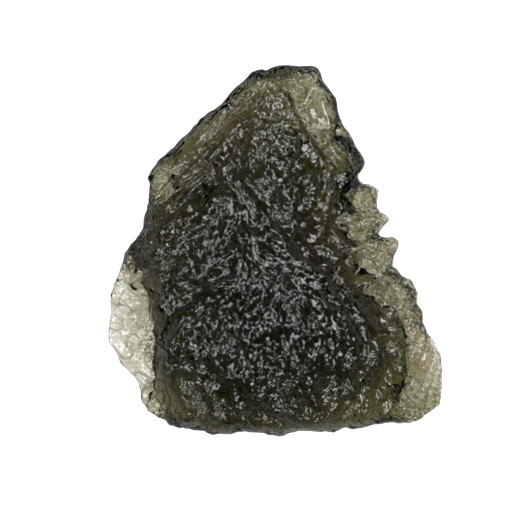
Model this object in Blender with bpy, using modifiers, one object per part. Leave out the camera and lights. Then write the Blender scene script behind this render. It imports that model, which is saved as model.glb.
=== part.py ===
"""A moldavite: one piece of natural green glass, etched all over, lying on its back.

Metres, +Z up. The origin is under the middle of the stone, on the surface it rests on.
+X runs to the side with the teeth and +Y to the narrow summit. Lengths below are in
millimetres, and MM turns them into metres when the mesh is made.
"""

import math

import bmesh
import bpy
import numpy as np
from mathutils import Vector, kdtree, noise

MM = 0.001

# The stone seen from above, clockwise from the notch left of the summit
SUMMIT = [(-1.2, 18.0), (-0.8, 17.7), (-0.4, 18.2), (0.7, 18.4), (2.0, 18.3), (3.2, 18.3), (3.7, 18.5),
          (4.2, 18.2), (4.5, 17.7), (4.6, 17.0)]
RIGHT_SHOULDER = [(5.2, 16.3), (5.9, 15.4), (6.2, 14.4), (6.5, 13.3), (6.8, 12.5), (7.2, 12.1), (7.6, 11.6),
                  (7.8, 10.7), (8.1, 10.1), (8.6, 9.5), (8.9, 8.9), (8.7, 8.2), (8.1, 7.6), (8.2, 7.2),
                  (8.4, 6.8)]
UPPER_TOOTH = [(8.3, 6.6), (8.9, 6.6), (9.6, 6.4), (10.2, 6.1), (10.3, 5.9), (10.1, 5.4), (10.0, 4.9),
               (10.0, 4.2)]
MIDDLE_TOOTH = [(10.9, 3.5), (11.3, 3.3), (10.9, 2.8), (10.5, 2.4), (10.0, 1.8)]
LOWER_TOOTH = [(10.5, 1.4), (11.1, 1.1), (11.6, 1.3), (12.1, 1.1), (12.4, 0.8), (12.1, 0.3), (11.9, -0.2),
               (11.8, -0.8), (11.6, -1.3)]
TORN_CORNER = [(12.2, -1.9), (12.6, -2.5), (13.2, -2.8), (13.7, -2.9), (13.9, -3.3), (14.2, -4.2),
               (14.0, -4.8), (14.2, -5.4), (14.7, -5.9), (14.7, -6.7), (14.8, -7.3)]
RIGHT_LOBE = [(15.4, -8.3), (16.0, -9.2), (16.1, -9.8), (16.5, -10.4), (16.7, -11.5), (16.6, -12.5),
              (16.6, -14.5), (16.4, -15.3), (15.7, -15.9), (15.0, -16.4), (14.2, -17.0), (13.6, -17.2)]
FOOT_EDGE = [(12.7, -17.1), (11.1, -17.1), (9.6, -17.3), (8.0, -17.5), (7.2, -17.4), (6.6, -17.6),
             (6.1, -17.9), (5.3, -17.8), (4.1, -17.8), (3.4, -17.9), (2.4, -17.8), (1.3, -17.9),
             (0.6, -18.3), (-0.4, -18.3), (-0.9, -18.1), (-2.8, -18.0), (-4.3, -18.1), (-6.0, -18.3),
             (-6.5, -18.3), (-7.0, -18.0), (-8.5, -17.8), (-9.7, -17.7)]
LEFT_LOBE = [(-10.3, -17.3), (-11.2, -16.7), (-12.5, -16.0), (-13.1, -15.4), (-13.8, -15.1),
             (-14.0, -14.4), (-14.3, -13.4), (-14.6, -12.6), (-15.0, -11.9), (-15.6, -10.8),
             (-15.9, -10.0), (-16.2, -9.5), (-16.6, -9.0), (-16.6, -7.9), (-16.4, -6.5), (-16.3, -4.1),
             (-16.0, -3.1), (-15.6, -2.1), (-15.2, -0.9), (-14.9, -0.1), (-14.2, 0.8), (-13.2, 2.0)]
LEFT_NOTCH = [(-12.9, 2.6), (-13.0, 2.9), (-12.8, 3.7), (-12.5, 4.9), (-12.6, 6.1), (-12.7, 7.4),
              (-12.6, 8.1), (-12.2, 8.4)]
LEFT_FLANK = [(-11.4, 9.1), (-10.2, 10.1), (-8.6, 11.7), (-7.0, 13.4), (-6.1, 14.0), (-5.3, 14.7),
              (-4.8, 15.3), (-3.8, 16.4), (-3.3, 16.6), (-2.7, 17.3), (-2.1, 17.8)]
OUTLINE = (SUMMIT + RIGHT_SHOULDER + UPPER_TOOTH + MIDDLE_TOOTH + LOWER_TOOTH + TORN_CORNER
           + RIGHT_LOBE + FOOT_EDGE + LEFT_LOBE + LEFT_NOTCH + LEFT_FLANK)

# The thick middle of the face, clockwise, with the width over which it falls away there
BROW = [(-1.0, 16.3, 1.8), (1.0, 15.6, 1.9), (2.0, 13.1, 2.0), (2.8, 11.1, 2.2), (4.0, 8.6, 2.4),
        (4.9, 6.3, 2.4), (3.8, 3.6, 2.2), (3.1, 0.6, 2.0), (5.2, -1.7, 2.0), (6.8, -4.2, 2.0),
        (8.7, -6.0, 2.0), (9.5, -8.6, 1.9), (10.4, -10.2, 1.8), (9.4, -13.2, 2.0), (9.2, -16.0, 1.8),
        (7.5, -18.5, 1.7), (1.0, -19.0, 1.7), (-6.0, -19.0, 1.7), (-9.6, -17.2, 1.7), (-10.7, -14.3, 1.6),
        (-11.8, -12.1, 1.5), (-11.7, -9.9, 1.5), (-11.3, -7.9, 1.6), (-12.3, -5.7, 1.5),
        (-12.6, -3.4, 1.6), (-13.2, -1.1, 1.6), (-12.6, 1.3, 1.8), (-12.1, 3.0, 2.3), (-10.2, 4.4, 3.2),
        (-7.8, 6.4, 3.8), (-6.5, 8.4, 3.8), (-4.4, 10.0, 3.4), (-3.4, 12.8, 2.8), (-2.4, 15.0, 2.2)]
BROW_WANDER = 0.7

# Marks that a surface passes through smoothly: where each is, and how high above the table
CREST = [(-1.0, 16.5, 6.0), (0.0, 13.0, 6.9), (-3.0, 10.0, 7.7), (1.0, 9.0, 8.1), (-7.0, 6.0, 8.3),
         (-2.0, 5.0, 9.1), (3.0, 5.0, 8.4), (-11.0, 1.0, 7.7), (-6.0, 0.0, 9.7), (0.0, 0.0, 9.9),
         (-11.0, -6.0, 8.0), (-5.0, -6.0, 10.4), (2.0, -5.0, 10.3), (7.0, -6.0, 8.9), (-10.0, -12.0, 7.7),
         (-4.0, -12.0, 9.5), (3.0, -12.0, 9.6), (8.0, -11.0, 8.6), (-6.0, -17.0, 7.0), (1.0, -17.0, 7.4),
         (7.0, -16.0, 7.2)]
APRON = [(4.0, 17.0, 5.6), (5.0, 13.0, 5.9), (7.0, 9.0, 5.8), (8.0, 6.0, 5.7), (9.0, 3.0, 5.6),
         (10.0, 0.0, 5.6), (12.0, -4.0, 5.7), (14.0, -8.0, 5.5), (15.5, -12.0, 5.1), (14.0, -15.0, 5.4),
         (11.0, -16.0, 5.8), (5.5, 8.0, 6.4), (6.0, 3.0, 6.4), (7.0, -1.0, 6.5), (11.0, -8.0, 6.7),
         (11.5, -12.0, 6.4), (1.0, -18.0, 5.5), (-6.0, -18.0, 5.3), (-12.0, -15.5, 4.7),
         (-13.5, -12.0, 4.5), (-14.5, -8.0, 4.4), (-15.0, -4.0, 4.4), (-14.5, -0.5, 5.0),
         (-13.0, 2.5, 5.4), (-12.0, 6.0, 5.7), (-9.5, 9.5, 6.0), (-6.0, 12.8, 6.1), (-3.5, 15.7, 6.0),
         (-1.0, 17.8, 5.8)]
BELLY = [(0.0, -1.0, 0.05), (-6.0, -6.0, 0.1), (4.0, -8.0, 0.15), (-6.0, 2.0, 0.3), (3.0, 4.0, 0.35),
         (0.0, -13.5, 0.7), (-1.0, 9.0, 1.0), (-10.0, -11.0, 1.5), (-10.5, -3.0, 1.3), (-13.7, -9.0, 2.9),
         (-15.2, -5.0, 3.0), (-13.0, -14.5, 2.7), (-9.0, 6.0, 1.5), (-11.5, 7.0, 2.2), (-5.0, 12.0, 1.7),
         (0.0, 16.0, 2.4), (4.0, 15.0, 2.5), (6.0, 10.0, 2.0), (8.0, 5.0, 1.8), (9.0, 0.0, 1.5),
         (11.0, -5.0, 1.4), (14.0, -9.0, 1.9), (14.5, -14.0, 2.2), (9.0, -15.5, 1.6), (1.0, -17.5, 2.0),
         (-6.0, -17.0, 2.1)]

RIM_THICKNESS = 0.7
RIM_ROUNDING = 1.5

# Furrows worn into the face and the back: width, depth and the places each runs through
FACE_FURROWS = [
    (0.8, 0.35, [(-4.5, 11.2), (-3.6, 9.1), (-3.1, 7.3), (-1.7, 5.2)]),
    (0.9, 0.45, [(-2.2, 8.8), (-1.3, 6.2), (-0.5, 4.6), (0.2, 3.2), (1.1, 2.2)]),
    (0.8, 0.35, [(-4.3, 4.2), (-3.9, 2.1), (-3.3, 0.4), (-2.2, -1.2), (-1.7, -3.6)]),
    (0.9, 0.30, [(-1.2, -9.8), (-1.5, -12.4), (-1.3, -14.6), (-1.8, -17.2)]),
    (1.0, 0.40, [(5.0, 6.4), (4.1, 3.4), (3.5, 0.9), (4.8, -1.2)]),
    (0.9, 0.30, [(-10.8, -6.4), (-8.7, -4.9), (-6.9, -3.6)]),
    (0.9, 0.30, [(-8.4, -7.3), (-6.2, -5.5), (-4.0, -4.5)]),
    (1.0, 0.35, [(6.2, -4.8), (7.9, -7.4), (9.1, -11.0)]),
    (0.8, 0.30, [(-12.2, 5.4), (-8.4, 9.0), (-4.6, 13.0)]),
    (0.8, 0.30, [(-12.0, 4.0), (-9.0, 6.9), (-6.2, 10.0), (-3.6, 13.2)]),
    (0.9, 0.35, [(1.1, 16.4), (2.6, 13.5), (4.2, 11.0), (5.8, 8.4)]),
    (1.3, 0.35, [(12.4, -6.0), (13.7, -9.4), (13.4, -12.8), (12.2, -15.8)]),
    (1.3, 0.40, [(-4.2, -17.3), (-1.3, -16.4), (2.0, -17.2)]),
    (1.1, 0.40, [(5.0, -17.2), (7.5, -15.3), (9.3, -13.0)]),
    (1.3, 0.40, [(10.4, 1.9), (8.2, 1.5), (5.8, 2.7)]),
    (1.3, 0.40, [(10.4, 4.6), (8.3, 4.5), (6.2, 5.7)]),
    (1.3, 0.40, [(12.0, -1.4), (9.7, -1.9), (7.2, -0.9)]),
]
BACK_FURROWS = [
    (1.3, 0.45, [(-1.6, 3.4), (-4.4, 4.0), (-7.2, 6.1), (-10.6, 6.9)]),
    (1.5, 0.50, [(3.4, -2.0), (6.3, -4.6), (9.2, -4.4), (12.6, -6.2)]),
    (1.3, 0.45, [(-2.6, -7.6), (-6.4, -8.1), (-9.6, -10.6), (-13.4, -10.7)]),
    (1.2, 0.40, [(2.2, 4.6), (1.7, 8.6), (3.2, 12.0), (2.6, 15.6)]),
]

# Etch pits: long cups that point away from the pole of their side, and meet in crests
FACE_POLE = Vector((0.8, 0.4, 10.0))
BACK_POLE = Vector((-2.6, -4.2, 0.0))
PIT_SPACING = 1.45
PIT_STRETCH = 1.6
PIT_DEPTH = 0.50
LUMPS = [(6.5, 0.50), (2.8, 0.28)]
SMOOTH_PLACES = [(-14.6, -7.5, 3.4), (-12.8, -13.5, 2.8), (-9.0, 9.5, 2.6), (-5.2, 13.2, 2.2),
                 (4.6, 13.8, 2.4), (15.0, -11.5, 2.6)]

# The outline starts this much too large, because remeshing and etching take that much off
OUTLINE_GROWTH = 0.09

VOXEL = 0.25
TRIANGLES = 9450


def clear_scene():
    for item in list(bpy.data.objects):
        bpy.data.objects.remove(item, do_unlink=True)


def mesh_shown(item):
    """The item's mesh with its modifiers, as the viewport shows it."""
    graph = bpy.context.evaluated_depsgraph_get()
    return bpy.data.meshes.new_from_object(item.evaluated_get(graph))


def plate(thickness):
    """The mesh of a flat plate cut to the outline."""
    flat = bpy.data.curves.new("outline", "CURVE")
    flat.dimensions = "2D"
    flat.fill_mode = "BOTH"
    flat.extrude = thickness / 2 * MM
    flat.offset = OUTLINE_GROWTH * MM
    loop = flat.splines.new("POLY")
    loop.points.add(len(OUTLINE) - 1)
    for point, (x, y) in zip(loop.points, OUTLINE):
        point.co = (x * MM, y * MM, 0.0, 1.0)
    loop.use_cyclic_u = True
    guide = bpy.data.objects.new("outline", flat)
    bpy.context.scene.collection.objects.link(guide)
    blank = mesh_shown(guide)
    bm = bmesh.new()
    bm.from_mesh(blank)
    bmesh.ops.remove_doubles(bm, verts=bm.verts, dist=0.001 * MM)
    bmesh.ops.recalc_face_normals(bm, faces=bm.faces)
    bm.to_mesh(blank)
    bm.free()
    bpy.data.objects.remove(guide)
    return blank


def remeshed(item, voxel):
    """Gives the item an even mesh with cells of this size."""
    step = item.modifiers.new("even", "REMESH")
    step.mode = "VOXEL"
    step.voxel_size = voxel * MM
    item.data = mesh_shown(item)
    item.modifiers.clear()


def vertices(item):
    """The places of the item's vertices, in millimetres, one row each."""
    points = np.empty(len(item.data.vertices) * 3)
    item.data.vertices.foreach_get("co", points)
    return points.reshape(-1, 3) / MM


def place_vertices(item, points):
    item.data.vertices.foreach_set("co", (points * MM).ravel())
    item.data.update()


def surface_through(marks):
    """A function of place: the smooth thin-plate surface through all the marks."""
    marks = np.array(marks)
    places, heights = marks[:, :2], marks[:, 2]

    def bend(squared):
        return 0.5 * squared * np.log(squared + 1e-12)

    count = len(marks)
    flat = np.c_[np.ones(count), places]
    system = np.zeros((count + 3, count + 3))
    system[:count, :count] = bend(((places[:, None] - places[None]) ** 2).sum(axis=2))
    system[:count, count:] = flat
    system[count:, :count] = flat.T
    weights = np.linalg.solve(system, np.r_[heights, np.zeros(3)])

    def height(spots):
        squared = ((spots[:, None] - places[None]) ** 2).sum(axis=2)
        return bend(squared) @ weights[:count] + np.c_[np.ones(len(spots)), spots] @ weights[count:]

    return height


def along_path(spots, path, closed=False):
    """For each spot, its distance to the path, and where on it the nearest place is, counted in points."""
    path = np.array(path)[:, :2]
    starts = path if closed else path[:-1]
    ends = np.roll(path, -1, axis=0) if closed else path[1:]
    runs = ends - starts
    offsets = spots[:, None] - starts[None]
    share = np.clip((offsets * runs).sum(axis=2) / (runs**2).sum(axis=1), 0, 1)
    gaps = np.linalg.norm(offsets - share[..., None] * runs, axis=2)
    nearest = gaps.argmin(axis=1)
    rows = np.arange(len(spots))
    return gaps[rows, nearest], nearest + share[rows, nearest]


def inside(spots, loop):
    """True for each spot that lies inside the closed loop."""
    x, y = spots.T
    within = np.zeros(len(spots), bool)
    for (x0, y0), (x1, y1) in zip(loop, loop[1:] + loop[:1]):
        crosses = (y0 > y) != (y1 > y)
        within ^= crosses & (x < x0 + (y - y0) * (x1 - x0) / ((y1 - y0) or 1.0))
    return within


def eased(share):
    """0 below 0 and 1 above 1, with a smooth rise between them."""
    share = np.clip(share, 0, 1)
    return share * share * (3 - 2 * share)


def lumpy(points, size):
    """Smooth noise between about -1 and 1, with lumps of this size."""
    return np.array([noise.noise(Vector(point) / size) for point in points])


def face_form(spots):
    """The face before etching: an apron, with the thick middle standing on it."""
    loop = [(x, y) for x, y, _ in BROW]
    widths = np.array([width for _, _, width in BROW])
    wander = np.c_[lumpy(np.c_[spots, np.full(len(spots), 3.0)], 2.4),
                   lumpy(np.c_[spots, np.full(len(spots), 9.0)], 2.4)]
    moved = spots + BROW_WANDER * wander
    gap, place = along_path(moved, loop, closed=True)
    before = place.astype(int) % len(BROW)
    width = widths[before] + (place % 1) * (np.roll(widths, -1)[before] - widths[before])
    inward = np.where(inside(moved, loop), gap, -gap)
    rise = eased(0.5 + inward / (2 * width))
    crest = surface_through(CREST)(spots)
    apron = surface_through(APRON)(spots)
    return apron + (np.maximum(crest, apron) - apron) * rise


def shaped(item, thickness):
    """Moves the plate's upper side to the face, its lower side to the back, and its wall to the rim."""
    points = vertices(item)
    spots = points[:, :2]
    level = np.clip(points[:, 2] / thickness + 0.5, 0, 1)
    top = face_form(spots)
    bottom = surface_through(BELLY)(spots)
    middle = (top + bottom) / 2
    inset = np.clip(along_path(spots, OUTLINE, closed=True)[0] / RIM_ROUNDING, 0, 1)
    round_off = np.sqrt(1 - (1 - inset) ** 2)
    top = middle + RIM_THICKNESS / 2 + (top - middle - RIM_THICKNESS / 2) * round_off
    bottom = middle - RIM_THICKNESS / 2 + (bottom - middle + RIM_THICKNESS / 2) * round_off
    points[:, 2] = bottom + (top - bottom) * level
    place_vertices(item, points)


def furrowed(spots, furrows):
    """How much the furrows raise each spot: less than nothing in them, and a little beside them."""
    wander = np.c_[lumpy(np.c_[spots, np.full(len(spots), 5.0)], 1.6),
                   lumpy(np.c_[spots, np.full(len(spots), 7.0)], 1.6)]
    raised = np.zeros(len(spots))
    for width, depth, path in furrows:
        gap, place = along_path(spots + 0.5 * wander, path)
        gap /= width / 2
        faded = np.sqrt(np.sin(np.pi * np.clip(place / (len(path) - 1), 0, 1)))
        raised += depth * faded * (0.35 * np.exp(-((gap - 1.7) ** 2) * 3) - np.exp(-(gap**2)))
    return raised


def pitted(points, normals, seed):
    """How much the etch pits lower each point: cups cut into the surface all over, edge to edge."""
    chance = np.random.default_rng(seed)
    tree = kdtree.KDTree(len(points))
    for index, point in enumerate(points):
        tree.insert(point, index)
    tree.balance()
    free = np.ones(len(points), bool)
    lowered = np.zeros(len(points))
    for middle in chance.permutation(len(points)):
        if not free[middle]:
            continue
        centre, out = Vector(points[middle]), Vector(normals[middle])
        for _, near, _ in tree.find_range(centre, PIT_SPACING):
            free[near] = False
        pole = FACE_POLE if out.z > 0 else BACK_POLE
        away = centre - pole
        away = (away - out * away.dot(out)).normalized()
        swing = chance.normal(0, 0.35)
        along = np.array(away * math.cos(swing) + out.cross(away) * math.sin(swing))
        aside = np.cross(out, along)
        radius = PIT_SPACING * chance.uniform(0.62, 0.95)
        deep = PIT_DEPTH * chance.uniform(0.5, 1.2)
        found = tree.find_range(centre, radius * PIT_STRETCH)
        near = np.array([index for _, index, _ in found])
        near = near[normals[near] @ np.array(out) > 0.3]
        offset = points[near] - points[middle]
        bowl = (offset @ along / (radius * PIT_STRETCH)) ** 2 + (offset @ aside / radius) ** 2 - 1
        lowered[near] = np.minimum(lowered[near], deep * bowl)
    return lowered


def etched(item):
    """Etches the surface all over, deep in the middle and lightly at the rim and in the smooth places."""
    points = vertices(item)
    spots = points[:, :2]
    normals = np.empty(points.size)
    item.data.vertex_normals.foreach_get("vector", normals)
    normals = normals.reshape(-1, 3)
    bite = 0.35 + 0.65 * eased(along_path(spots, OUTLINE, closed=True)[0] / 2.5)
    for x, y, radius in SMOOTH_PLACES:
        gap = np.hypot(spots[:, 0] - x, spots[:, 1] - y)
        bite = np.minimum(bite, 0.3 + 0.7 * eased(gap / radius - 0.4))
    raised = pitted(points, normals, 3) + 0.5 * PIT_DEPTH
    for size, height in LUMPS:
        raised += height * lumpy(points, size)
    facing = normals[:, 2]
    raised += furrowed(spots, FACE_FURROWS) * eased(facing * 3)
    raised += furrowed(spots, BACK_FURROWS) * eased(-facing * 3)
    place_vertices(item, points + normals * (bite * raised)[:, None])


def thinned(item, triangles):
    """Lowers the number of triangles, and keeps the crests and teeth."""
    step = item.modifiers.new("fewer", "DECIMATE")
    step.use_collapse_triangulate = True
    step.ratio = triangles / (2 * len(item.data.polygons))
    item.data = mesh_shown(item)
    item.modifiers.clear()


def worn_flat(item):
    """Cuts the lowest lumps of the back off flat at the height of the table, where the stone rests."""
    cutters = bpy.data.collections.new("moldavite_cutters")
    bpy.context.scene.collection.children.link(cutters)
    bm = bmesh.new()
    bmesh.ops.create_cube(bm, size=1.0)
    bmesh.ops.scale(bm, verts=bm.verts, vec=(60 * MM, 60 * MM, 10 * MM))
    bmesh.ops.translate(bm, verts=bm.verts, vec=(0, 0, -5 * MM))
    block = bpy.data.meshes.new("table")
    bm.to_mesh(block)
    bm.free()
    table = bpy.data.objects.new("table", block)
    table.hide_render = True
    table.display_type = "WIRE"
    cutters.objects.link(table)
    step = item.modifiers.new("rest", "BOOLEAN")
    step.operation = "DIFFERENCE"
    step.solver = "EXACT"
    step.object = table


def glass():
    """Bottle-green natural glass, clear in thin places and nearly black in thick ones."""
    material = bpy.data.materials.new("moldavite_glass")
    material.use_nodes = True
    finish = material.node_tree.nodes["Principled BSDF"]
    finish.inputs["Base Color"].default_value = (0.09, 0.10, 0.05, 1.0)
    finish.inputs["Roughness"].default_value = 0.18
    finish.inputs["Metallic"].default_value = 0.0
    finish.inputs["IOR"].default_value = 1.49
    finish.inputs["Transmission Weight"].default_value = 0.6
    return material


def main():
    clear_scene()
    group = bpy.data.collections.new("moldavite")
    bpy.context.scene.collection.children.link(group)
    thickness = 4 * VOXEL
    stone = bpy.data.objects.new("moldavite", plate(thickness))
    group.objects.link(stone)
    remeshed(stone, VOXEL)
    shaped(stone, thickness)
    remeshed(stone, VOXEL)
    etched(stone)
    thinned(stone, TRIANGLES)
    worn_flat(stone)
    stone.data.materials.clear()
    stone.data.materials.append(glass())


main()
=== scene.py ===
import math

import bmesh
import bpy
import numpy as np
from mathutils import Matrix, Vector, kdtree, noise


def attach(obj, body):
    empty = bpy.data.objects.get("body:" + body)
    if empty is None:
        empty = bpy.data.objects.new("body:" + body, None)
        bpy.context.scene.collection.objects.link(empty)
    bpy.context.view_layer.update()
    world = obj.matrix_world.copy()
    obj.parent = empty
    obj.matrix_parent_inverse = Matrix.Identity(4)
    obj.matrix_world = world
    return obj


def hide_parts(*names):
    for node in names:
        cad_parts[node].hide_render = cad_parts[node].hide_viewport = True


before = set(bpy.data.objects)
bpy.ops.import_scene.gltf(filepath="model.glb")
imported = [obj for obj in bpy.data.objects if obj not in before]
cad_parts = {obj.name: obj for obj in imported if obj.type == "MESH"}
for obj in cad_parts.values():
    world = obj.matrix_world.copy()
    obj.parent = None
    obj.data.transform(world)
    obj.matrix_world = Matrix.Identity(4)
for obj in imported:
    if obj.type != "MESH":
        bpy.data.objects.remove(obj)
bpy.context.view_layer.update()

# The stone: one piece of natural glass, thrown out molten, and etched for ages by ground water.
# Thick places look nearly black and thin ones bottle green to cream. The face has fine pits
# that point away from its middle, flow lines along the upper left, and a smooth chip low right.
# Places and sizes are in mm, seen from above. The pits point away from the two poles.
MM = 0.001
SAME_POINT = 0.0005
EVEN_CELL = 0.105
RESTING_BELOW = 0.03
TRIANGLES = 194000
FACE_POLE = (0.8, 0.4)
BACK_POLE = (-2.6, -4.2)

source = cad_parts["moldavite"]
mesh = source.data.copy()
mesh.transform(source.matrix_world)
bm = bmesh.new()
bm.from_mesh(mesh)
bmesh.ops.remove_doubles(bm, verts=bm.verts, dist=SAME_POINT * MM)
bmesh.ops.recalc_face_normals(bm, faces=bm.faces)
bm.to_mesh(mesh)
bm.free()
stone = bpy.data.objects.new("stone", mesh)
bpy.context.scene.collection.objects.link(stone)
even = stone.modifiers.new("even", "REMESH")
even.mode = "VOXEL"
even.voxel_size = EVEN_CELL * MM
stone.data = bpy.data.meshes.new_from_object(stone.evaluated_get(bpy.context.evaluated_depsgraph_get()))
stone.modifiers.clear()

count = len(stone.data.vertices)
points = np.empty(count * 3)
stone.data.vertices.foreach_get("co", points)
points = points.reshape(-1, 3) / MM
edges = np.empty(len(stone.data.edges) * 2, int)
stone.data.edges.foreach_get("vertices", edges)
edges = edges.reshape(-1, 2)
valence = np.bincount(edges.ravel(), minlength=count)[:, None]
resting = points[:, 2] < RESTING_BELOW


def averaged(values):
    """Each point's value as the mean of its neighbours."""
    total = np.zeros_like(values)
    for column in range(values.shape[1]):
        total[:, column] = np.bincount(edges[:, 0], values[edges[:, 1], column], count)
        total[:, column] += np.bincount(edges[:, 1], values[edges[:, 0], column], count)
    return total / valence


# The solid's triangles are smoothed away. Each round pushes back out what it pulled in, so the
# rim and the teeth don't shrink.
PULL_IN = 0.5
PUSH_OUT = 0.52
for _ in range(14):
    points += PULL_IN * (averaged(points) - points)
    points -= PUSH_OUT * (averaged(points) - points)


def normals_of(spots):
    """Moves the stone's points to these places, and gives the normals there."""
    stone.data.vertices.foreach_set("co", (spots * MM).ravel())
    stone.data.update()
    found = np.empty(count * 3)
    stone.data.vertex_normals.foreach_get("vector", found)
    return found.reshape(-1, 3)


def eased(share):
    """A soft step from 0 to 1."""
    share = np.clip(share, 0, 1)
    return share * share * (3 - 2 * share)


def lumpy(spots, size, seed=0.0):
    """Smooth noise between about -1 and 1, with lumps of this size."""
    return np.array([noise.noise(Vector((x / size, y / size, z / size + seed))) for x, y, z in spots])


def near(x, y, radius, stretch=1.0, turn=0.0):
    """1 inside an oval patch of the face seen from above, easing to 0 at twice its radius."""
    along, aside = math.cos(turn), math.sin(turn)
    u = (points[:, 0] - x) * along + (points[:, 1] - y) * aside
    v = (points[:, 1] - y) * along - (points[:, 0] - x) * aside
    return 1 - eased(np.hypot(u / stretch, v) / radius - 1)


# The thin pale flank runs in to the foot of a nearly upright step
inwards = 1.3 + 0.7 * lumpy(points, 1.6, 35.0)
points[:, 0] += inwards * near(-12.6, -8.4, 1.3, 3.4, 1.4) * (1 - eased((points[:, 2] - 3.0) / 4.0))

# A large pit in the upper left flank has a smooth floor
hollow = near(-7.9, 6.3, 0.9, 1.6, 0.8)[:, None] * (points[:, 2:] > 1.5)
for _ in range(50):
    points += 0.6 * hollow * (averaged(points) - points)

normals = normals_of(points)
for _ in range(6):
    normals = averaged(normals)
normals /= np.linalg.norm(normals, axis=1)[:, None]
facing = normals[:, 2]
tree = kdtree.KDTree(count)
for index, point in enumerate(points):
    tree.insert(point, index)
tree.balance()

# Where the surface is smooth: the pale flank low on the left, the flow lines above it, the facet
# and the crown at the summit, and the chip low right
pale_flank = np.clip(near(-14.8, -7.0, 1.2, 3.2, 1.35) + near(-12.9, -13.4, 1.4, 1.4, -0.8), 0, 1)
flow_flank = np.clip(near(-8.6, 8.6, 1.9, 3.4, 0.80), 0, 1)
top_facet = near(4.7, 14.6, 1.1, 1.9, -1.1)
crown = near(0.4, 17.0, 1.1, 2.4, 0.1)
chip = near(15.2, -10.6, 1.2, 2.4, 1.4)
smooth = np.maximum.reduce([0.35 * flow_flank, 0.75 * top_facet, 0.35 * crown, 0.7 * chip])
smooth = np.maximum(smooth * (facing > -0.2), pale_flank)
rough = 1 - 0.85 * smooth

# How high the face stands above each point. The stone is thin, and passes light, where it is low
THIN_TOP = 6.4
above = kdtree.KDTree(int(np.sum(facing > 0.3)))
for index in np.flatnonzero(facing > 0.3):
    above.insert((points[index, 0], points[index, 1], 0), int(index))
above.balance()
top = np.array([points[above.find((x, y, 0))[1], 2] for x, y in points[:, :2]])
wing = eased((THIN_TOP - top) / 2.0)


def pits(spacing, wide, stretch, depth, seed, where):
    """Cups cut all over, long side away from the pole. They overlap, and meet in sharp crests."""
    chance = np.random.default_rng(seed)
    free = np.ones(count, bool)
    lowered = np.zeros(count)
    for middle in chance.permutation(count):
        if not free[middle]:
            continue
        centre = points[middle]
        out = normals[middle]
        found = tree.find_range(centre, spacing)
        free[[index for _, index, _ in found]] = False
        pole = FACE_POLE if out[2] > 0 else BACK_POLE
        away = np.array([centre[0] - pole[0], centre[1] - pole[1], 0.001])
        away -= out * (away @ out)
        away /= np.linalg.norm(away)
        swing = chance.normal(0, 0.45)
        along = away * math.cos(swing) + np.cross(out, away) * math.sin(swing)
        aside = np.cross(out, along)
        radius = wide * chance.uniform(0.7, 1.3)
        reach = radius * stretch * chance.uniform(0.7, 1.3)
        deep = depth * chance.uniform(0.4, 1.3) * where[middle]
        group = np.array([index for _, index, _ in tree.find_range(centre, max(reach, radius))])
        group = group[normals[group] @ out > 0.3]
        offset = points[group] - centre
        bowl = (offset @ along / reach) ** 2 + (offset @ aside / radius) ** 2 - 1
        lowered[group] = np.minimum(lowered[group], deep * bowl)
    return lowered + 0.4 * depth * where


# Three sizes of pits: fine ones in clusters, large shallow ones, and deep ones in the thin glass
back = facing < 0
clusters = np.clip(0.9 + 0.8 * lumpy(points, 2.2, 2.0), 0.45, 1.2)
cliff = eased((0.8 - np.abs(facing)) / 0.2) * ~back * (1 - pale_flank)
fine = rough * np.maximum(clusters, wing) * np.where(back, 0.5 * wing + 0.2, 1) * (1 + 0.5 * cliff)
relief = pits(0.34, 0.24, 1.4, 0.060, 11, fine)
relief += pits(0.95, 0.65, 1.4, 0.10, 12, (1 - 0.9 * smooth) * (1 + 0.4 * cliff))
relief += pits(0.46, 0.32, 1.3, 0.12, 14, rough * wing)
relief += 0.04 * rough * lumpy(points, 0.35, 3.0)

# Long grooves that split the face, with few pits in them: width, depth and the places that each
# runs through
GROOVES = (
    (0.42, 0.09, ((-4.9, 11.4), (-4.0, 9.4), (-3.0, 7.4), (-1.9, 5.6))),
    (0.50, 0.11, ((-3.2, 8.0), (-2.4, 6.4), (-1.4, 4.4), (-0.2, 2.8), (1.0, 2.0))),
    (0.42, 0.09, ((-4.4, 4.6), (-4.1, 2.6), (-3.5, 0.9), (-2.7, -0.6), (-2.0, -2.6))),
    (0.38, 0.08, ((-3.6, -3.0), (-2.6, -4.6), (-1.4, -6.0), (-0.2, -6.9))),
    (0.35, 0.12, ((-1.8, -12.0), (-1.7, -14.2), (-1.9, -16.4))),
    (0.35, 0.12, ((-1.1, -12.0), (-1.1, -14.2), (-1.3, -16.4))),
    (0.55, 0.14, ((5.2, 6.2), (4.5, 3.8), (4.0, 1.6), (4.2, -0.8))),
    (0.50, 0.12, ((-7.6, -3.8), (-5.6, -2.6), (-3.6, -2.2))),
    (0.50, 0.12, ((-9.0, -5.4), (-7.0, -4.4), (-5.2, -4.3))),
    (0.55, 0.14, ((-5.6, 12.6), (-4.6, 13.8), (-3.4, 14.8))),
)
wobble = 0.22 * np.c_[lumpy(points, 1.4, 21.0), lumpy(points, 1.4, 22.0)]
calmed = np.zeros(count)
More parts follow.
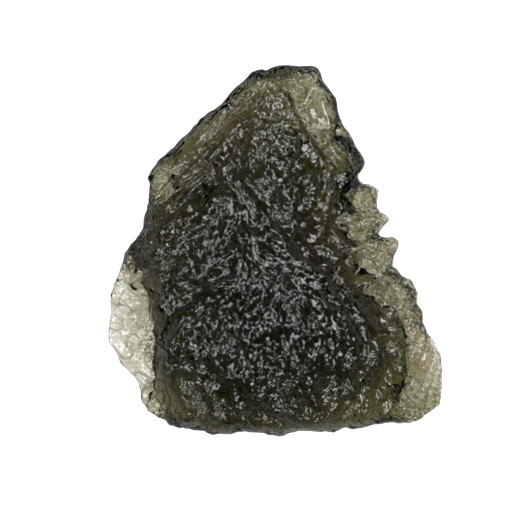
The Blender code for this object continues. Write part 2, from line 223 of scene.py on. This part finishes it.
for width, depth, path in GROOVES:
    gap = np.full(count, 9.0)
    fade = np.zeros(count)
    for step, (start, stop) in enumerate(zip(path[:-1], path[1:])):
        start, run = np.array(start), np.array(stop) - np.array(start)
        offset = points[:, :2] + wobble - start
        share = np.clip(offset @ run / (run @ run), 0, 1)
        distance = np.linalg.norm(offset - share[:, None] * run, axis=1)
        closer = distance < gap
        gap = np.where(closer, distance, gap)
        fade = np.where(closer, np.sin(np.pi * (step + share) / (len(path) - 1)), fade)
    gap = gap / (width / 2)
    shape = 0.3 * np.exp(-((gap - 1.9) ** 2) * 2) - np.exp(-(gap**2))
    calm = (facing > 0.2) * np.sqrt(fade) * np.exp(-((gap / 1.7) ** 4))
    calmed = np.maximum(calmed, calm)
    relief = relief * (1 - 0.85 * calm) + depth * shape * np.sqrt(fade) * (facing > 0.2)

# Flow lines: narrow wavy ridges along the upper left edge, and a fan of them under the summit
SUMMIT = (0.4, 19.6)
across = (points[:, 1] - points[:, 0]) * math.sqrt(0.5)
along = (points[:, 1] + points[:, 0]) * math.sqrt(0.5)
bend = np.c_[across / 0.42, along / 5.0, np.zeros(count)]
bend[:, 0] += 1.0 * lumpy(np.c_[across, along, np.zeros(count)], 2.4, 4.0)
lines = 1 - 2 * np.abs(lumpy(bend, 1.0, 6.0))
relief += 0.15 * (lines - 0.6) * flow_flank * (facing > 0)
turn = np.arctan2(points[:, 0] - SUMMIT[0], SUMMIT[1] - points[:, 1])
reach = np.hypot(points[:, 0] - SUMMIT[0], SUMMIT[1] - points[:, 1])
fan = np.c_[turn * 9, reach / 3.0, np.zeros(count)]
relief += 0.20 * (0.4 - 2 * np.abs(lumpy(fan, 1.0, 8.0))) * crown * (facing > 0)

# Streaks in the chip, and the lumps and creases of the pale flank
streak = np.c_[(points[:, 0] - 0.35 * points[:, 1]) / 0.5, points[:, 1] / 3.5, np.zeros(count)]
relief += 0.17 * lumpy(streak, 1.0, 9.0) * chip * (facing > 0)
relief += (0.14 * lumpy(points, 1.1, 10.0) + 0.05 * lumpy(points, 0.6, 11.0)) * pale_flank
relief -= 0.12 * np.exp(-((lumpy(points, 1.5, 32.0) / 0.10) ** 2)) * pale_flank * (facing > 0)

# Where the surface lies lower than round it, clay has stayed, and shade is painted there too
cavity = relief[:, None]
for _ in range(7):
    cavity = averaged(cavity)
cavity = np.clip(0.35 + (cavity[:, 0] - relief) / 0.045, 0, 1)

rim = np.abs(facing) < 0.35
relief *= np.where(rim, 0.7, 1.0) * (1 - 0.5 * pale_flank * rim)
points += normals * relief[:, None]

# The back is hollow under the thin glass, most of all on the right, and rests under the middle
right = eased((points[:, 0] - 1) / 3)
thinner = 0.32 + 0.15 * right
thinner += 0.04 * near(4.0, 13.0, 1.2, 2.2, -1.1)
thinner += 0.10 * near(14.9, -10.4, 0.8, 2.4, 1.4)
thinner *= eased((THIN_TOP + 0.4 * right - top) / 2.4)
lift = np.c_[thinner * top, thinner]
for _ in range(80):
    lift = averaged(lift)
lift = np.minimum(lift[:, 0] - lift[:, 1] * points[:, 2], 0.62 * (top - points[:, 2]))
points[:, 2] += np.maximum(lift, 0) * eased(-facing / 0.6) * eased(points[:, 2] / 0.8)
points[:, 2] = np.maximum(points[:, 2], 0)
points[resting, 2] = 0
normals_of(points)

# How much fine etching and clay there is, for the material
grain = stone.data.attributes.new("grain", "FLOAT", "POINT")
etched = rough * np.maximum(clusters, 2.0 * wing) * (1 - 0.4 * calmed)
grain.data.foreach_set("value", etched * (1 - pale_flank) + 0.35 * pale_flank)

# Clay left in the etching: a dark crust on the summit, and brown patches elsewhere
patchy = np.clip(0.8 + 0.6 * lumpy(points, 0.9, 31.0), 0, 1)
stains_and_shade = np.ones((count, 3))
for x, y, radius, stretch, turn, colour in (
    (-1.3, 18.0, 0.9, 4.6, 0.1, (0.10, 0.10, 0.08)),
    (-4.6, 16.2, 0.5, 2.6, 0.85, (0.20, 0.19, 0.15)),
    (-6.2, 9.0, 1.1, 4.5, 0.80, (0.70, 0.63, 0.50)),
    (-3.4, 13.2, 1.0, 2.0, 0.80, (0.78, 0.71, 0.58)),
    (4.2, 0.8, 1.0, 3.2, 1.75, (0.80, 0.66, 0.48)),
    (6.5, -4.6, 0.7, 3.6, -0.9, (0.70, 0.62, 0.48)),
    (-13.6, 1.2, 0.8, 3.0, 1.25, (0.60, 0.52, 0.42)),
    (-6.4, -16.6, 0.8, 4.0, 0.0, (0.75, 0.70, 0.55)),
    (14.4, -9.4, 0.8, 2.6, 1.6, (0.98, 0.86, 0.80)),
    (14.0, -15.4, 1.5, 1.5, 0.0, (0.62, 0.60, 0.46)),
    (11.4, -13.0, 1.2, 2.0, 1.4, (0.94, 0.92, 0.78)),
):
    patch = near(x, y, radius, stretch, turn) * patchy
    stains_and_shade *= 1 - patch[:, None] * (1 - np.array(colour))

# Painted shade over the thick middle: the glass is darkened where it stands high. Then clay
# and painted shade in the pits of the thin glass, and brown creases in a cream flank
stains_and_shade *= 1 - 0.32 * eased((top - 5.4 - 1.2 * right) / 2.0)[:, None]
# Clay and painted shade in the pits of the thin glass: darker where the surface lies low
clay_and_shade_in_pits = cavity * rough * np.clip(wing + 0.25, 0, 1) * (facing > 0)
stains_and_shade *= 1 - clay_and_shade_in_pits[:, None] * np.array((0.70, 0.72, 0.82))
creases = np.exp(-((lumpy(points, 1.5, 32.0) / 0.11) ** 2))
creases += 0.4 * np.exp(-((lumpy(points, 0.8, 33.0) / 0.12) ** 2))
creases = np.clip(creases, 0, 1) * pale_flank * (facing > 0)
stains_and_shade *= 1 - creases[:, None] * np.array((0.78, 0.82, 0.90))
cream = (0.20 + 0.14 * lumpy(points, 2.2, 34.0)) * pale_flank
stains_and_shade *= 1 - cream[:, None] * np.array((0.9, 0.95, 1.2))
# The clay stains together with the painted shade, for the material
stains_and_painted_shade = stone.data.attributes.new("stains_and_painted_shade", "FLOAT_COLOR", "POINT")
stains_and_painted_shade.data.foreach_set("color", np.c_[stains_and_shade, np.ones(count)].ravel())

# Triangles are taken from the back below the dark middle first, so the face keeps its fine pits
hidden = stone.vertex_groups.new(name="hidden")
buried = np.flatnonzero((facing < -0.4) & (top > 5.0))
hidden.add([int(index) for index in buried], 1.0, "REPLACE")
start_count = 2 * len(stone.data.polygons)
fewer = stone.modifiers.new("fewer_behind", "DECIMATE")
fewer.vertex_group = "hidden"
fewer.ratio = 1 - 0.75 * len(buried) / count
fewer.use_collapse_triangulate = True
evened = stone.modifiers.new("fewer", "DECIMATE")
evened.ratio = TRIANGLES / (start_count * fewer.ratio)
evened.use_collapse_triangulate = True
stone.data = bpy.data.meshes.new_from_object(stone.evaluated_get(bpy.context.evaluated_depsgraph_get()))
stone.modifiers.clear()
stone.vertex_groups.clear()
stone.data.polygons.foreach_set("use_smooth", [True] * len(stone.data.polygons))

# Clear green glass: light is lost on its way through, most of all blue
glass = bpy.data.materials.new("moldavite_glass")
glass.use_nodes = True
nodes, links = glass.node_tree.nodes, glass.node_tree.links
shader = nodes["Principled BSDF"]
shader.inputs["Base Color"].default_value = (1, 1, 1, 1)
shader.inputs["Roughness"].default_value = 0.12
shader.inputs["IOR"].default_value = 1.49
shader.inputs["Transmission Weight"].default_value = 1.0
absorption = nodes.new("ShaderNodeVolumeAbsorption")
absorption.inputs["Color"].default_value = (0.43, 0.43, 0.205, 1)
absorption.inputs["Density"].default_value = 900
links.new(absorption.outputs["Volume"], nodes["Material Output"].inputs["Volume"])

# Finest etching: shallow cups, deepest where the pits are
place = nodes.new("ShaderNodeTexCoord")
where = nodes.new("ShaderNodeAttribute")
where.attribute_name = "grain"
cups = nodes.new("ShaderNodeTexVoronoi")
cups.feature = "SMOOTH_F1"
cups.inputs["Scale"].default_value = 4300
cups.inputs["Smoothness"].default_value = 0.15
links.new(place.outputs["Object"], cups.inputs["Vector"])
dents = nodes.new("ShaderNodeBump")
dents.inputs["Distance"].default_value = 0.036 * MM
links.new(where.outputs["Fac"], dents.inputs["Strength"])
links.new(cups.outputs["Distance"], dents.inputs["Height"])
links.new(dents.outputs["Normal"], shader.inputs["Normal"])

# A film of clay in the cups, in specks
specks = nodes.new("ShaderNodeTexNoise")
specks.inputs["Scale"].default_value = 3400
specks.inputs["Detail"].default_value = 2.5
specks.inputs["Roughness"].default_value = 0.7
links.new(place.outputs["Object"], specks.inputs["Vector"])
film = nodes.new("ShaderNodeValToRGB")
film.color_ramp.elements[0].position = 0.40
film.color_ramp.elements[0].color = (0.30, 0.28, 0.20, 1)
film.color_ramp.elements[1].position = 0.52
film.color_ramp.elements[1].color = (1, 1, 1, 1)
links.new(specks.outputs["Fac"], film.inputs["Fac"])
clay = nodes.new("ShaderNodeMix")
clay.data_type = "RGBA"
clay.inputs["A"].default_value = (1, 1, 1, 1)
links.new(where.outputs["Fac"], clay.inputs["Factor"])
links.new(film.outputs["Color"], clay.inputs["B"])
# The clay stains, with the painted shade of the thick middle and of the pits
stains_and_shade_node = nodes.new("ShaderNodeAttribute")
stains_and_shade_node.attribute_name = "stains_and_painted_shade"
both = nodes.new("ShaderNodeMix")
both.data_type = "RGBA"
both.blend_type = "MULTIPLY"
both.inputs["Factor"].default_value = 1
links.new(clay.outputs["Result"], both.inputs["A"])
links.new(stains_and_shade_node.outputs["Color"], both.inputs["B"])
links.new(both.outputs["Result"], shader.inputs["Base Color"])
stone.data.materials.clear()
stone.data.materials.append(glass)
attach(stone, "root")
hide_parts("moldavite")

# The floor: a white light table that the stone lies on, made of one pale board that glows evenly.
# The stone's steep sides don't mirror it, and it isn't aimed at as a lamp.
floor_mesh = bpy.data.meshes.new("floor")
bm = bmesh.new()
bmesh.ops.create_grid(bm, x_segments=1, y_segments=1, size=0.6)
bmesh.ops.translate(bm, verts=bm.verts, vec=(0, 0, -0.02 * MM))
bm.to_mesh(floor_mesh)
bm.free()
floor = bpy.data.objects.new("floor", floor_mesh)
bpy.context.scene.collection.objects.link(floor)
pale = bpy.data.materials.new("pale_floor")
pale.use_nodes = True
board = pale.node_tree.nodes["Principled BSDF"]
board.inputs["Base Color"].default_value = (0.22, 0.22, 0.22, 1)
board.inputs["Roughness"].default_value = 0.6
board.inputs["Emission Color"].default_value = (1, 1, 1, 1)
board.inputs["Emission Strength"].default_value = 1.00
floor_mesh.materials.append(pale)
pale.cycles.emission_sampling = "NONE"
floor.visible_glossy = False

# The light: four softboxes round the stone, low enough that its pits catch them and its top stays
# dark. The room is nearly black above the table, and pale below it, which the steep sides mirror.
BOX_DISTANCE = 0.3
world = bpy.data.worlds.new("studio")
world.use_nodes = True
sky, joins = world.node_tree.nodes, world.node_tree.links
sky["Background"].inputs["Color"].default_value = (1, 1, 1, 1)
around = sky.new("ShaderNodeTexCoord")
height = sky.new("ShaderNodeSeparateXYZ")
joins.new(around.outputs["Generated"], height.inputs["Vector"])
dim = sky.new("ShaderNodeMapRange")
dim.inputs["From Min"].default_value = -0.1
dim.inputs["From Max"].default_value = 0.1
dim.inputs["To Min"].default_value = 0.55
dim.inputs["To Max"].default_value = 0.03
joins.new(height.outputs["Z"], dim.inputs["Value"])
joins.new(dim.outputs["Result"], sky["Background"].inputs["Strength"])
bpy.context.scene.world = world
for name, turn, rise, wide, tall, power in (
    ("left_box", 190, 52, 0.13, 0.11, 10.0),
    ("right_box", 28, 50, 0.12, 0.11, 11.0),
    ("front_box", -76, 52, 0.11, 0.10, 11.0),
    ("back_box", 106, 56, 0.12, 0.10, 12.0),
):
    lamp = bpy.data.lights.new(name, "AREA")
    lamp.shape = "RECTANGLE"
    lamp.size, lamp.size_y = wide, tall
    lamp.energy = power * math.pi * wide * tall
    box = bpy.data.objects.new(name, lamp)
    a, e = math.radians(turn), math.radians(rise)
    out = Vector((math.cos(a) * math.cos(e), math.sin(a) * math.cos(e), math.sin(e)))
    box.location = out * BOX_DISTANCE
    box.rotation_euler = out.to_track_quat("Z", "Y").to_euler()
    bpy.context.scene.collection.objects.link(box)

# The camera: a long lens that looks straight down, as the picture of the stone was taken. Its
# picture is 51.2 mm wide at the height given here.
PICTURE_WIDTH = 51.2
PICTURE_HEIGHT_ABOVE = 3.5
FOCAL_LENGTH = 150
SENSOR_WIDTH = 36
lens = bpy.data.cameras.new("camera")
lens.lens = FOCAL_LENGTH
lens.sensor_width = SENSOR_WIDTH
lens.clip_start, lens.clip_end = 0.01, 10
camera = bpy.data.objects.new("camera", lens)
distance = PICTURE_WIDTH * FOCAL_LENGTH / SENSOR_WIDTH
camera.location = (-1.9 * MM, -0.5 * MM, (PICTURE_HEIGHT_ABOVE + distance) * MM)
bpy.context.scene.collection.objects.link(camera)
bpy.context.scene.camera = camera
bpy.context.scene.view_settings.view_transform = "Standard"
